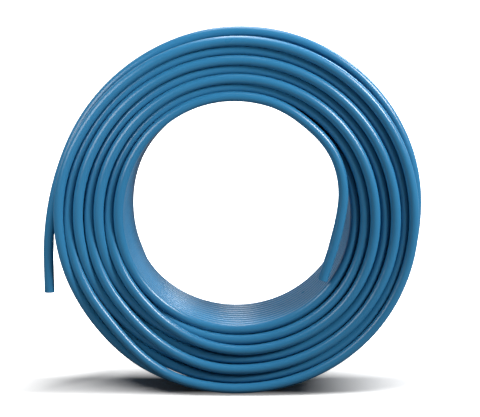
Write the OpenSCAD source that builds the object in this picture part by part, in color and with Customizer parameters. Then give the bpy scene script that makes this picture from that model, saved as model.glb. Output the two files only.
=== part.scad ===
// Coil of PE-RT heating pipe, standing on its rim.
// One length of pipe is wound in six full layers and a short seventh one. The layers with odd
// numbers hold one turn more than the others, so on both faces every second layer lies half a turn
// deeper. The last turn has sprung off the coil a little and hangs down as the outer free end; the
// inner free end leaves the first turn and stands across the bore.
// Origin: middle of the coil's axis. +Z up, front face towards -Y, which leans back with the coil.

/* [Pipe] */
// Outside diameter of the pipe
pipe_d = 16; // [12:0.5:25]
// Wall thickness of the pipe
pipe_wall = 2; // [1:0.1:3]

/* [Winding] */
// Diameter of the bore inside the first layer
bore_d = 356; // [300:1:440]
// Number of full layers, an even number
full_layers = 6; // [4:2:8]
// Turns in each layer with an odd number
turns = 12; // [8:1:16]
// Gap between one turn and the next
turn_gap = 0.2; // [0.1:0.1:0.6]
// Step from one layer to the next, as a share of the pipe's diameter
layer_step = 0.96; // [0.9:0.005:1]

/* [Outer free end] */
// Clock angle at which the seventh layer's second turn begins
second_turn_from = 260; // [200:1:280]
// Clock angle at which that turn springs off the coil
springs_off_at = 110; // [95:1:120]
// Length of the straight last piece
outer_straight = 50; // [40:1:80]

/* [Inner free end] */
// Clock angle at which the pipe leaves the first turn
leaves_at = 28; // [25:1:45]
// Clock angle at which the first turn steps back into the second
first_turn_to = 235; // [200:1:270]
// Length of the straight last piece
inner_straight = 40; // [30:1:50]

/* [Hidden] */
$fn = 96;
pipe_r = pipe_d / 2;
pitch = pipe_d + turn_gap;
rise = pipe_d * layer_step;
width = (turns - 1) * pitch;
top = full_layers + 1;
// How far the solid core inside the winding reaches past the outermost pipes' centre lines
core = pipe_r / 4;
// Bends of each free end from the coil outwards: radius less that of the turn it leaves, and angle
outer_bends = [[64, 20], [-30, 22], [0, 89], [22, 46], [170, 24]];
inner_bends = [[-34, 36], [-43, 34], [280, 10]];
// Bent stretch of a free end: flats round it, angle between its rings, how far it lies inside the
// round pipe, and how far it reaches into the coil and the straight piece
flats = 12;
ring_step = 5;
tuck = 0.1;
seat = 5;

// Layers count from 1 at the bore to the top one, turns from 0 at the front
function radius(layer) = bore_d / 2 + pipe_r + (layer - 1) * rise;
function is_deep(layer) = layer % 2 == 0;
function depth(layer, turn) = (turn + (is_deep(layer) ? 0.5 : 0)) * pitch - width / 2;
function last_turn(layer) = turns - (is_deep(layer) ? 2 : 1);

// The coil leans back until the top layer's second turn and the last full layer's last turn both
// touch the floor
lean = atan(rise / (depth(full_layers, last_turn(full_layers)) - depth(top, 1)));

// Turns the coil's own frame, where the clock angle runs from +X and the axis is Z, to stand upright
module upright() {
    rotate([-90 - lean, 0, 0]) rotate([0, 0, -90]) children();
}

// Section of a pipe with a web on the side of the core, for a turn that goes only part of the way
module section_with_web(layer, turn, web_end) {
    translate([radius(layer), depth(layer, turn)]) circle(pipe_r);
    translate([min(radius(layer), web_end), depth(layer, turn) - core])
        square([abs(web_end - radius(layer)), 2 * core]);
}

// Section of the full layers: a pipe for each turn that shows, round one solid core
module winding_section() {
    for (layer = [1 : full_layers], turn = [0 : last_turn(layer)])
        if (layer == 1 && turn > 0 || layer == full_layers || layer > 1 && turn == 0
            || turn == last_turn(layer))
            translate([radius(layer), depth(layer, turn)]) circle(pipe_r);
    translate([radius(top), depth(top, 0)]) circle(pipe_r);
    polygon(concat(
        [[radius(1) - core, depth(1, last_turn(1))], [radius(1) - core, depth(1, 1)]],
        [for (layer = [2 : top]) [radius(layer), depth(layer, 0) - core]],
        [[radius(top), depth(top, 0) + core], [radius(full_layers) + core, depth(full_layers, 0)]],
        [[radius(full_layers) + core, depth(full_layers, last_turn(full_layers))]],
        [for (layer = [full_layers : -1 : 1]) [radius(layer), depth(layer, last_turn(layer)) + core]]
    ));
}

// Part of a turn between two clock angles
module part_turn(from, to, layer, turn, web_end) {
    rotate([0, 0, from]) rotate_extrude(angle = to - from) section_with_web(layer, turn, web_end);
}

// The turned winding, with the first turn and the top layer's second turn where they lie on it
module winding() {
    rotate_extrude() winding_section();
    part_turn(first_turn_to, 360 + leaves_at, 1, 0, radius(2));
    part_turn(springs_off_at, second_turn_from, top, 1, radius(full_layers));
}

// Places along bends that turn left, each with its heading, from a point and a heading
function along(x, y, heading, bends, turn_radius, n = 0) =
    n == len(bends) ? [] :
    let (
        r = turn_radius + bends[n][0],
        steps = ceil(bends[n][1] / ring_step),
        places = [for (k = [1 : steps]) let (h = heading + bends[n][1] * k / steps)
            [x + r * (sin(h) - sin(heading)), y - r * (cos(h) - cos(heading)), h]],
        end = places[steps - 1]
    )
    concat(places, along(end[0], end[1], end[2], bends, turn_radius, n + 1));

// Closed tube with flats through a row of places
module flat_sided_tube(places, r) {
    rings = len(places);
    points = [for (p = places, k = [0 : flats - 1]) let (t = 360 * k / flats)
        [p[0] + r * cos(t) * sin(p[2]), p[1] - r * cos(t) * cos(p[2]), r * sin(t)]];
    sides = [for (j = [0 : rings - 2], k = [0 : flats - 1]) let (m = (k + 1) % flats)
        [j * flats + k, j * flats + m, (j + 1) * flats + m, (j + 1) * flats + k]];
    first = [for (k = [flats - 1 : -1 : 0]) k];
    last = [for (k = [0 : flats - 1]) (rings - 1) * flats + k];
    polyhedron(points, concat([first], sides, [last]), convexity = 6);
}

// Pipe that starts along +Y inside its turn, bends left and ends in a straight round piece
module free_end(turn_radius, bends, straight) {
    bent = along(0, 0, 90, bends, turn_radius);
    end = bent[len(bent) - 1];
    inside = [end[0] + seat / 2 * cos(end[2]), end[1] + seat / 2 * sin(end[2]), end[2]];
    flat_sided_tube(concat([[0, -seat, 90], [0, 0, 90]], bent, [inside]), pipe_r - tuck);
    translate([end[0], end[1], 0]) rotate([0, 90, end[2]]) difference() {
        cylinder(r = pipe_r, h = straight);
        translate([0, 0, seat]) cylinder(r = pipe_r - pipe_wall, h = straight);
    }
}

module outer_end() {
    rotate([0, 0, springs_off_at]) translate([radius(top), 0, depth(top, 1)])
        mirror([0, 1, 0]) free_end(radius(top), outer_bends, outer_straight);
}

module inner_end() {
    rotate([0, 0, leaves_at]) translate([radius(1), 0, depth(1, 0)])
        free_end(radius(1), inner_bends, inner_straight);
}

module pipe_coil() {
    color("steelblue") upright() {
        winding();
        outer_end();
        inner_end();
    }
}

pipe_coil();
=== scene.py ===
# %% [markdown]
# # A coil of heating pipe
# This lesson draws one length of blue plastic pipe, wound in layers into a standing coil. The whole
# coil is a single pipe, so the work is to find one long centre line: where it runs, where it crosses
# to the next turn, and where it climbs to the next layer. Then a round skin is put on that line.
#
# The first cell loads the plain CAD model. It gives the place and the size of everything that follows.

import math

import bpy
import numpy as np
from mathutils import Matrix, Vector


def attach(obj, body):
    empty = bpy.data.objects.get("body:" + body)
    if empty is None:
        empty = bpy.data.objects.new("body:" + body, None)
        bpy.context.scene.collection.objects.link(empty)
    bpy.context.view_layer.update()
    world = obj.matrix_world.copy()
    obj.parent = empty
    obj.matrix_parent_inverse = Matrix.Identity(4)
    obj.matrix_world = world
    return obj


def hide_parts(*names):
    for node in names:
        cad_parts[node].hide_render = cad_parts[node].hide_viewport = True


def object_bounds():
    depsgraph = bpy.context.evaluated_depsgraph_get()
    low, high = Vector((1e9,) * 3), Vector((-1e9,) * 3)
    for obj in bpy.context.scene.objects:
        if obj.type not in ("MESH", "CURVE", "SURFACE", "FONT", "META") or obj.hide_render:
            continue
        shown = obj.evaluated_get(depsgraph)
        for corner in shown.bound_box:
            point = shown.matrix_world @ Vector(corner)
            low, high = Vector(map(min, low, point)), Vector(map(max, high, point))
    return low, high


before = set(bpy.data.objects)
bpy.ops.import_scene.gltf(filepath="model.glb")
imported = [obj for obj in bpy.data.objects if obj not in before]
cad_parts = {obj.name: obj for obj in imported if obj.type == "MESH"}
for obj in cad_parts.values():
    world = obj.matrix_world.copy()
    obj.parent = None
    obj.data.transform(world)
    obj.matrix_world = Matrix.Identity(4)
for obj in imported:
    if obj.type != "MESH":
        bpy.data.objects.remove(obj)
cad_low, cad_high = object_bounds()
print("CAD model, metres:", [round(v, 3) for v in cad_high - cad_low])

# %% [markdown]
# ## The sizes of the winding
# The pipe is 16 mm thick with a 2 mm wall. Seen from the front the places on the coil are told by a
# clock angle, 0 at the top and growing to the right, by a layer number counted from the bore, and by
# a depth counted in turns from the front face. All three may be fractions, which is what makes a
# crossing easy to describe: it is a smooth step in one of them.

# %% Sizes
PIPE = 0.008
WALL = 0.002
PITCH = 0.0162
FIRST_RADIUS = 0.186
RISE = 0.01536
RISE_AT_CROSSING = 0.0157
TURNS_IN_LAYER = [12, 11, 12, 11, 12, 11]
MIDDLE_TURN = (TURNS_IN_LAYER[0] - 1) / 2
LEAN = math.atan(RISE / (9.5 * PITCH))
print("the coil leans back", round(math.degrees(LEAN), 2), "degrees")


# %% From clock angle, radius and depth to the room
def in_the_room(clock, radius, depth):
    """Each point goes radius out from the axis at its clock angle and depth back along the axis; then the
    axis is tipped by LEAN about the left-right line, so that the top goes back."""
    x = radius * np.sin(clock)
    up = radius * np.cos(clock)
    y = depth * math.cos(LEAN) + up * math.sin(LEAN)
    z = up * math.cos(LEAN) - depth * math.sin(LEAN)
    return np.stack([x, y, z], axis=-1)


# %% [markdown]
# ## How the pipe is wound
# A winder lays turn beside turn, and once in each round the pipe steps over to the next place. These
# steps all fall in the same quarter of the coil, at the lower left. Odd layers run from the front to
# the back, even ones from the back to the front in the valleys between, so they hold a turn less.
# At the end of a layer the pipe climbs to the next one.
#
# The pipe's place is written as a sum of smooth steps over the angle wound so far. A step takes the
# depth or the layer from one value to the next, and before and after it nothing changes. One table of
# steps then holds the whole winding, and numpy adds them up for every point at once.

# %% The table of steps
START = 190.0  # clock angle at which turns are counted to begin; the pipe runs to smaller angles


def smooth(share):
    """0 before, 1 after, and 3s^2 - 2s^3 between."""
    s = np.clip(share, 0, 1)
    return s * s * (3 - 2 * s)


def wound_at(turn, clock):
    """The angle wound so far, in degrees, when the pipe passes a clock angle in a turn."""
    return 360 * turn + (START - clock) % 360


depth_steps, layer_steps = [], []
turn = 0
for layer, turns in enumerate(TURNS_IN_LAYER, start=1):
    odd = layer % 2 == 1
    for k in range(turns - 1):
        nearness_to_late_end = k / (turns - 2)  # the last steps of a layer come later
        begins = wound_at(turn, 280 - 30 * nearness_to_late_end)
        ends = begins + 82
        depth_steps.append((begins, ends, 1.0 if odd else -1.0))
        turn += 1
    last = 360 * turn
    if odd:
        layer_steps.append((last + (START - 245) % 360, last + (START - 205) % 360, 1.0))
        depth_steps.append((last + (START - 215) % 360, last + (START - 215) % 360 + 32, -0.5))
    else:
        depth_steps.append((last + (START - 282) % 360, last + (START - 232) % 360, -0.5))
        climb_begins = last + (START - 234) % 360
        climb_lasts = {2: 62, 4: 52, 6: 36}[layer]  # the further out, the sharper the climb
        layer_steps.append((climb_begins, climb_begins + climb_lasts, 1.0))
    turn += 1
depth_steps.append((wound_at(turn, 280), wound_at(turn, 280) + 80, 1.0))
layer_starts = [360 * n for n in np.cumsum([0] + TURNS_IN_LAYER)]
print(len(depth_steps), "sideways steps and", len(layer_steps), "climbs in", turn + 1, "full turns")


# %% [markdown]
# ## A coil is never quite round
# Once the winder's drum is out, the layers settle. The front bulges a little at the lower right, its top
# is pressed flat, the first turn stands proud at the upper left, and the back turns of the inner layers
# slide into the bore at the left. Each of these is one low hump over the clock angle, with a share for
# every layer, and it dies away towards the other face.

# %% Out of round
def hump(clock, middle, reach):
    """1 at the middle clock angle, falling smoothly to 0 at reach degrees on both sides."""
    return smooth(1 - np.abs((clock - middle + 180) % 360 - 180) / reach)


def out_of_round(clock, layer, back):
    """How far a place moves out from the axis: the sum of hump times height times the layer's share, where
    back is 0 at the front face and 1 at the back one."""

    def share(of_layers):
        return np.interp(layer, np.arange(1, 8), of_layers)

    front_humps = (
        0.0049 * hump(clock, 128, 54) * share([0.5, 0.8, 1.0, 1.1, 1.15, 0.9, 0.7])
        - 0.0024 * hump(clock, 8, 78) * share([0.0, 0.1, 0.4, 0.7, 0.9, 1.0, 1.1])
        + 0.0034 * hump(clock, 340, 62) * share([1.0, 0.5, 0.2, 0.0, 0.0, 0.0, 0.0])
        - 0.0030 * hump(clock, 320, 50) * share([0.0, 0.0, 0.0, 0.0, 0.0, 0.4, 1.0])
        - 0.0036 * hump(clock, 42, 26) * share([1.0, 0.0, 0.0, 0.0, 0.0, 0.0, 0.0])
        + 0.0014 * hump(clock, 266, 32) * share([0.0, 0.0, 0.0, 0.0, 0.8, 1.0, 0.4])
        + 0.0014 * hump(clock, 88, 45) * share([0.0, 0.0, 0.0, 0.4, 1.0, 0.4, 0.0])
        + 0.0018 * hump(clock, 195, 30) * share([0.0, 0.0, 0.0, 0.0, 0.0, 1.0, 0.3])
    )
    slid_in = -0.0099 * hump(clock, 312, 90) - 0.0028 * hump(clock, 264, 40)
    slid_in *= share([1.0, 0.6, 0.3, 0.1, 0.0, 0.0, 0.0])
    return (1 - back) * front_humps + back * slid_in


# %% The centre line of the winding
def sum_of_steps(wound, steps):
    """The sum over all steps of height times the smooth share of that step that is done."""
    begins, ends, height = np.array(steps).T
    return (height * smooth((wound[:, None] - begins) / (ends - begins))).sum(1)


def winding(wound):
    """Clock angle, radius and depth of the pipe's centre for each angle wound so far, in degrees.
    Where turns cross over each other they can't nest, so each layer stands a little further out there."""
    clock = (START - wound) % 360
    layers_up = sum_of_steps(wound, layer_steps)
    turns_back = sum_of_steps(wound, depth_steps)
    crossing = smooth((clock - 225) / 25) * smooth((305 - clock) / 27)
    radius = FIRST_RADIUS + layers_up * (RISE + (RISE_AT_CROSSING - RISE) * crossing)
    radius += out_of_round(clock, 1 + layers_up, smooth(turns_back / 11))
    last_layer_steps_back = smooth(layers_up - 5) * smooth(turns_back)
    radius += 0.0048 * hump(clock, 213, 42) * last_layer_steps_back
    depth = (turns_back - MIDDLE_TURN) * PITCH
    return np.radians(clock), radius, depth


# %% [markdown]
# ## The two free ends
# The last turn has sprung off the coil and hangs down at the left, and the first one stands across the
# bore at the lower right. Pipe that springs free keeps a gentle bend that changes slowly, so each end
# is a chain of arcs that touch, with a straight piece at the cut.

# %% Arcs end to end
def chain_of_arcs(bends, straight, step=0.004):
    """Places and headings along arcs that each start where the last one ends, heading along +Y at the
    origin and turning left, then a straight piece. Heading is the arc length over the radius, summed,
    and the place is the sum of the steps along the heading."""
    lengths = [radius * math.radians(angle) for radius, angle in bends]
    ends = np.cumsum([0] + lengths + [straight])
    headings = np.radians(90) + np.cumsum([0] + [math.radians(a) for _, a in bends] + [0])
    along = np.linspace(0, ends[-1], int(ends[-1] / step) + 1)[1:]
    fine = np.linspace(0, ends[-1], 20001)
    heading = np.interp(fine, ends, headings)
    x = np.concatenate([[0], np.cumsum(np.cos((heading[1:] + heading[:-1]) / 2) * fine[1])])
    y = np.concatenate([[0], np.cumsum(np.sin((heading[1:] + heading[:-1]) / 2) * fine[1])])
    return np.interp(along, fine, x), np.interp(along, fine, y)


def free_end(leaves_at, turn_radius, bends, straight, winds_on):
    """Clock angle and radius along a free end. winds_on is 1 when the end goes on to greater clock angles
    and -1 when it goes on to smaller ones."""
    x, y = chain_of_arcs([(turn_radius + more, a) for more, a in bends], straight)
    clock = math.radians(leaves_at) + winds_on * np.arctan2(y, turn_radius + x)
    return clock, np.hypot(turn_radius + x, y)


TOP_RADIUS = FIRST_RADIUS + 6 * RISE
OUTER_LEAVES_AT, INNER_LEAVES_AT = 110, 28  # clock angles
# Each bend: how much wider its arc is than the turn it leaves, in metres, and its angle
OUTER_BENDS = [(0.064, 20), (-0.030, 22), (0.0, 89), (0.022, 46), (0.170, 24)]
INNER_BENDS = [(-0.034, 36), (-0.043, 34), (0.280, 10)]
outer = free_end(OUTER_LEAVES_AT, TOP_RADIUS, OUTER_BENDS, 0.050, -1)
inner = free_end(INNER_LEAVES_AT, FIRST_RADIUS, INNER_BENDS, 0.040, 1)
print("free ends of", len(outer[0]), "and", len(inner[0]), "places")

# %% [markdown]
# ## A round skin on the line
# A ring of points stands square to the line at each place. The coil's axis gives every ring the same
# "sideways", so the skin never twists. At a cut end the skin turns in over the wall and runs back
# inside, which shows the pipe as hollow; where one piece of skin meets the next, it is closed flat.

# %% Skin
SIDES = 20
EDGE = 0.0003  # bevel of a cut end
AXIS = np.array([0, math.cos(LEAN), -math.sin(LEAN)])


def rings(centres):
    """For each place: the direction of the line, by differences of its neighbours, and the direction out
    from the coil, which is square to the line and to the coil's axis."""
    way = np.gradient(centres, axis=0)
    way /= np.linalg.norm(way, axis=1, keepdims=True)
    out = np.cross(way, AXIS)
    out /= np.linalg.norm(out, axis=1, keepdims=True)
    return way, out, np.cross(out, way)


def skin(name, centres, start_cut=False, end_cut=False):
    """Points at centre + r (cos t out + sin t side), for t round the pipe and r the pipe's radius, with
    the rings of a cut end's edge and inner wall added at smaller radii. At an end that joins on, the
    line has one place more, which turns the last ring exactly like its neighbour's and is then left out."""
    kept = slice(0 if start_cut else 1, len(centres) if end_cut else -1)
    way, out, side = (v[kept] for v in rings(centres))
    centres = centres[kept]
    length = np.concatenate([[0], np.cumsum(np.linalg.norm(np.diff(centres, axis=0), axis=1))])
    place, radii = length.copy(), np.full(len(length), PIPE)

    def cut(at, inward):
        far = min(0.12, length[-1] / 2)
        back = at + inward * np.array([0.0, EDGE, 0.02, far])
        return back, np.array([PIPE - WALL + EDGE, PIPE - WALL, PIPE - WALL, PIPE - WALL])

    if end_cut:
        more, r = cut(length[-1], -1)
        radii[-1] = PIPE - EDGE
        place = np.insert(place, -1, length[-1] - EDGE)
        radii = np.insert(radii, -1, PIPE)
        place, radii = np.concatenate([place, more]), np.concatenate([radii, r])
    if start_cut:
        more, r = cut(0.0, 1)
        radii[0] = PIPE - EDGE
        place = np.insert(place, 1, EDGE)
        radii = np.insert(radii, 1, PIPE)
        place, radii = np.concatenate([more[::-1], place]), np.concatenate([r[::-1], radii])

    def along(values):
        return np.stack([np.interp(place, length, values[:, k]) for k in range(3)], axis=1)

    c, o, s = along(centres), along(out), along(side)
    t = np.linspace(0, 2 * np.pi, SIDES, endpoint=False)
    points = c[:, None] + radii[:, None, None] * (
        np.cos(t)[None, :, None] * o[:, None] + np.sin(t)[None, :, None] * s[:, None]
    )
    n = len(c)
    a = np.arange(n - 1)[:, None] * SIDES + np.arange(SIDES)
    b = np.arange(n - 1)[:, None] * SIDES + (np.arange(SIDES) + 1) % SIDES
    walls = np.stack([a, b, b + SIDES, a + SIDES], axis=-1).reshape(-1, 4)
    first, last = n * SIDES, n * SIDES + 1
    k = np.arange(SIDES)
    near = np.stack([np.full(SIDES, first), (k + 1) % SIDES, k], axis=-1)
    away = np.stack([np.full(SIDES, last), (n - 1) * SIDES + k, (n - 1) * SIDES + (k + 1) % SIDES], axis=-1)
    return make_piece(name, points.reshape(-1, 3), c[0], c[-1], walls, near, away, place, n)


# %% Mesh from arrays
def make_piece(name, points, start, end, walls, near, away, place, n):
    """Puts the ring points, two middle points and all faces into a mesh, and keeps for every point how far
    along the pipe it is and where round it, so that a finish can follow the pipe."""
    mesh = bpy.data.meshes.new(name)
    verts = np.vstack([points, start, end])
    mesh.vertices.add(len(verts))
    mesh.vertices.foreach_set("co", verts.ravel())
    corners = np.concatenate([walls.ravel(), near.ravel(), away.ravel()])
    sizes = np.concatenate([np.full(len(walls), 4), np.full(len(near) + len(away), 3)])
    mesh.loops.add(len(corners))
    mesh.loops.foreach_set("vertex_index", corners)
    mesh.polygons.add(len(sizes))
    mesh.polygons.foreach_set("loop_start", np.concatenate([[0], np.cumsum(sizes)[:-1]]))
    mesh.update(calc_edges=True)
    mesh.validate()
    mesh.polygons.foreach_set("use_smooth", np.ones(len(sizes), bool))
    mesh.set_sharp_from_angle(angle=math.radians(40))
    around = np.tile(np.arange(SIDES) * 2 * np.pi / SIDES, n)
    lie = np.stack([np.repeat(place, SIDES), np.cos(around), np.sin(around)], axis=1)
    lie = np.vstack([lie, [place[0], 0, 0], [place[-1], 0, 0]])
    mesh.attributes.new("along_and_around", "FLOAT_VECTOR", "POINT")
    mesh.attributes["along_and_around"].data.foreach_set("vector", lie.ravel())
    piece = bpy.data.objects.new(name, mesh)
    bpy.context.scene.collection.objects.link(piece)
    return piece


# %% [markdown]
# ## One piece of skin for each layer
# The pipe could be one mesh, but it would have half a million triangles. A piece for each layer keeps
# every mesh small, and the pieces meet ring on ring, so no seam shows.

# %% Lay the pipe
RINGS_IN_TURN = 128
WOUND_FIRST = (START - INNER_LEAVES_AT) % 360
WOUND_LAST = wound_at(turn + 1, OUTER_LEAVES_AT)
SETTLES_OVER = 40  # degrees over which a free end comes off the settled coil
layers = []
for layer in range(1, 8):
    begins = WOUND_FIRST if layer == 1 else layer_starts[layer - 1]
    ends = WOUND_LAST if layer == 7 else layer_starts[layer]
    steps = int(round((ends - begins) / 360 * RINGS_IN_TURN))
    step = (ends - begins) / steps
    first, last = (0 if layer == 1 else -1), (steps if layer == 7 else steps + 1)
    clock, radius, depth = winding(begins + step * np.arange(first, last + 1))
    if layer == 1:
        come_off = smooth(1 - np.degrees(inner[0] - clock[0]) / SETTLES_OVER)
        settled = out_of_round(np.degrees(inner[0]), 1, 0) * come_off
        end_radius = inner[1] + settled
        clock = np.concatenate([inner[0][::-1], clock])
        radius = np.concatenate([end_radius[::-1], radius])
        depth = np.concatenate([np.full(len(inner[0]), depth[0]), depth])
    if layer == 7:
        come_off = smooth(1 - np.degrees(clock[-1] - outer[0]) % 360 / SETTLES_OVER)
        settled = (radius[-1] - outer[1][0]) * come_off
        end_radius = outer[1] + settled
        clock = np.concatenate([clock, outer[0]])
        radius = np.concatenate([radius, end_radius])
        depth = np.concatenate([depth, np.full(len(outer[0]), depth[-1])])
    centres = in_the_room(clock, radius, depth)
    piece = skin(f"pipe_layer_{layer}", centres, start_cut=layer == 1, end_cut=layer == 7)
    layers.append(piece)
    metres = np.linalg.norm(np.diff(centres, axis=0), axis=1).sum()
    print(piece.name, round(float(metres), 2), "m,", len(piece.data.polygons), "faces")

# %% [markdown]
# ## The plastic
# Heating pipe is smooth polyethylene: an even blue, a satin gloss that blurs what it mirrors, and very
# fine lines along it from the die that it was drawn through. The finish follows the pipe with the
# attribute that the skin keeps, and small helpers let the node maths read like ordinary sums.


# %% Node maths that reads like sums
class Value:
    """A number or a vector that a node puts out. Sums and products of Values make Math nodes."""

    def __init__(self, tree, socket):
        self.tree, self.socket = tree, socket

    def node(self, kind, inputs=(), output=0, **settings):
        made = self.tree.nodes.new(kind)
        for key, value in settings.items():
            setattr(made, key, value)
        for key, value in dict(inputs).items():
            if isinstance(value, Value):
                self.tree.links.new(value.socket, made.inputs[key])
            else:
                made.inputs[key].default_value = value
        return Value(self.tree, made.outputs[output])

    def maths(self, operation, *values):
        return self.node("ShaderNodeMath", dict(enumerate(values)), operation=operation)

    def __add__(self, other):
        return self.maths("ADD", self, other)

    def __radd__(self, other):
        return self.maths("ADD", other, self)

    def __sub__(self, other):
        return self.maths("SUBTRACT", self, other)

    def __rsub__(self, other):
        return self.maths("SUBTRACT", other, self)

    def __mul__(self, other):
        return self.maths("MULTIPLY", self, other)

    def __rmul__(self, other):
        return self.maths("MULTIPLY", other, self)


def new_material(name):
    material = bpy.data.materials.new(name)
    material.use_nodes = True
    tree = material.node_tree
    return material, tree, Value(tree, None), tree.nodes["Principled BSDF"]


# %% Blue pipe
blue_pipe, tree, start, shader = new_material("blue_pipe")
lie = start.node("ShaderNodeAttribute", attribute_name="along_and_around", output="Vector")
room = start.node("ShaderNodeTexCoord", output="Object")
stretched = start.node("ShaderNodeVectorMath", {0: lie, 1: (0.6, 14, 14)}, operation="MULTIPLY")
die_lines = start.node("ShaderNodeTexNoise", {"Vector": stretched, "Scale": 1.0, "Detail": 3.0})
cloud = start.node("ShaderNodeTexNoise", {"Vector": room, "Scale": 9.0, "Detail": 2.0})
grain = start.node("ShaderNodeTexNoise", {"Vector": room, "Scale": 900.0, "Detail": 1.0})
tint = cloud * 0.7 + die_lines * 0.3
colour = start.node(
    "ShaderNodeMix",
    {"Factor": tint, "A": (0.023, 0.170, 0.345, 1), "B": (0.033, 0.205, 0.395, 1)},
    data_type="RGBA",
    output="Result",
)
tree.links.new(colour.socket, shader.inputs["Base Color"])
tree.links.new((0.24 + cloud * 0.10).socket, shader.inputs["Roughness"])
height = die_lines * 0.8 + grain * 0.2
bump = start.node(
    "ShaderNodeBump", {"Height": height, "Strength": 0.1, "Distance": 0.0004}, output="Normal"
)
tree.links.new(bump.socket, shader.inputs["Normal"])
shader.inputs["IOR"].default_value = 1.5
print("blue pipe finish:", len(tree.nodes), "nodes")

# %% Finish and hand the pieces to the frame
for piece in layers:
    piece.data.materials.append(blue_pipe)
    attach(piece, "root")
    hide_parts("pipe_coil")
shown_low, shown_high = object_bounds()
print("drawn coil, metres:", [round(v, 3) for v in shown_high - shown_low])

# %% [markdown]
# ## Floor, light and camera
# The floor and the world are white to the camera, and the floor still takes the coil's soft shadow.
# The shadow is staged. A long strip lamp lights the floor and nothing else, and outside a band at the
# coil's foot the floor glows, so that the shadow stays low and the rest of the floor is plain white.

# %% Floor
floor_z = min(cad_low.z, shown_low.z)
floor_mesh = bpy.data.meshes.new("floor")
reach = 12
corners = [(-reach, -reach), (reach, -reach), (reach, reach), (-reach, reach)]
floor_mesh.from_pydata([(x, y, floor_z) for x, y in corners], [], [(0, 1, 2, 3)])
floor = bpy.data.objects.new("floor", floor_mesh)
bpy.context.scene.collection.objects.link(floor)
pale, tree, start, shader = new_material("pale_floor")
rays = tree.nodes.new("ShaderNodeLightPath")
seen = Value(tree, rays.outputs["Is Camera Ray"])
floor_colour = start.node(
    "ShaderNodeMix",
    {"Factor": seen, "A": (0.15, 0.15, 0.15, 1), "B": (1.0, 1.0, 1.0, 1)},
    data_type="RGBA",
    output="Result",
)
tree.links.new(floor_colour.socket, shader.inputs["Base Color"])
shader.inputs["Roughness"].default_value = 1.0
shader.inputs["Specular IOR Level"].default_value = 0.0
SHADOW_MIDDLE = -0.07  # how far back the middle of the shadow lies
place = start.node("ShaderNodeTexCoord", output="Object")
to_the_back = start.node("ShaderNodeSeparateXYZ", {"Vector": place}, output="Y")
from_shadow = to_the_back.maths("ABSOLUTE", to_the_back - SHADOW_MIDDLE)
clear = start.node(
    "ShaderNodeMapRange", {"Value": from_shadow, "From Min": 0.03, "From Max": 0.085}, output="Result"
)
tree.links.new((seen * clear).socket, shader.inputs["Emission Strength"])
shader.inputs["Emission Color"].default_value = (1, 1, 1, 1)
floor_mesh.materials.append(pale)

# %% World
world = bpy.data.worlds.new("studio")
bpy.context.scene.world = world
world.use_nodes = True
tree = world.node_tree
start = Value(tree, None)
rays = tree.nodes.new("ShaderNodeLightPath")
heading = start.node("ShaderNodeTexCoord", output="Generated")
backwards = start.node("ShaderNodeSeparateXYZ", {"Vector": heading}, output="Y")
backdrop = start.node(
    "ShaderNodeMapRange", {"Value": backwards, "From Min": 0.1, "From Max": 0.7}, output="Result"
)
in_gloss = 0.04 + backdrop * Value(tree, rays.outputs["Is Glossy Ray"]) * 0.9
strength = in_gloss.maths("MAXIMUM", in_gloss, Value(tree, rays.outputs["Is Camera Ray"]))
tree.links.new(strength.socket, tree.nodes["Background"].inputs["Strength"])
tree.nodes["Background"].inputs["Color"].default_value = (1, 1, 1, 1)


# %% Lamps
floor_only = bpy.data.collections.new("floor_only")
floor_only.objects.link(floor)
all_but_floor = bpy.data.collections.new("all_but_floor")
all_but_floor.objects.link(floor)
all_but_floor.collection_objects[0].light_linking.link_state = "EXCLUDE"


def softbox(name, place, size, share, lights=all_but_floor):
    """A lamp that looks at the coil. share is how bright it makes a white matt surface there that faces
    it: a lamp of P watts at d metres gives P / (pi d)^2."""
    lamp = bpy.data.lights.new(name, "AREA")
    lamp.shape = "RECTANGLE"
    lamp.size, lamp.size_y = size
    lamp.energy = share * (math.pi * Vector(place).length) ** 2
    stand = bpy.data.objects.new(name, lamp)
    stand.location = place
    stand.rotation_euler = (-Vector(place)).to_track_quat("-Z", "Y").to_euler()
    stand.light_linking.receiver_collection = lights
    bpy.context.scene.collection.objects.link(stand)


softbox("right", (2.25, -1.07, 1.69), (1.0, 1.0), 1.25)
softbox("behind_right", (1.76, 1.48, 1.93), (0.8, 0.8), 0.32)
softbox("behind", (0.0, 1.93, 2.30), (0.8, 0.8), 0.25)
softbox("near_above", (0.05, 0.10, 1.00), (0.5, 0.5), 0.40)
softbox("near_left", (-0.60, -0.50, 0.40), (0.4, 0.4), 0.46)
softbox("over_floor", (0.50, 0.40, 4.00), (0.7, 9.0), 3.2, lights=floor_only)

# %% Camera
FRONT = in_the_room(np.array(0.0), np.array(0.0), np.array(-MIDDLE_TURN * PITCH))
DISTANCE = 3.75
VIEW_WIDTH = 0.75408  # metres across the view at the coil's front face
AIM_RIGHT = 0.00491723
AIM_UP = 0.01127978
SENSOR_WIDTH = 36
HEIGHT_ANGLE = LEAN + math.radians(9.2)
away = Vector((0, -math.cos(HEIGHT_ANGLE), math.sin(HEIGHT_ANGLE)))
upwards = Vector((0, math.sin(HEIGHT_ANGLE), math.cos(HEIGHT_ANGLE)))
middle = Vector(FRONT) + Vector((AIM_RIGHT, 0, 0)) + upwards * AIM_UP
lens = bpy.data.cameras.new("camera")
lens.sensor_width = SENSOR_WIDTH
lens.lens = SENSOR_WIDTH * DISTANCE / VIEW_WIDTH
lens.clip_end = 60
camera = bpy.data.objects.new("camera", lens)
camera.location = middle + away * DISTANCE
camera.rotation_euler = (-away).to_track_quat("-Z", "Y").to_euler()
bpy.context.scene.collection.objects.link(camera)
bpy.context.scene.camera = camera
bpy.context.scene.view_settings.view_transform = "Standard"
print("lens", round(lens.lens), "mm")
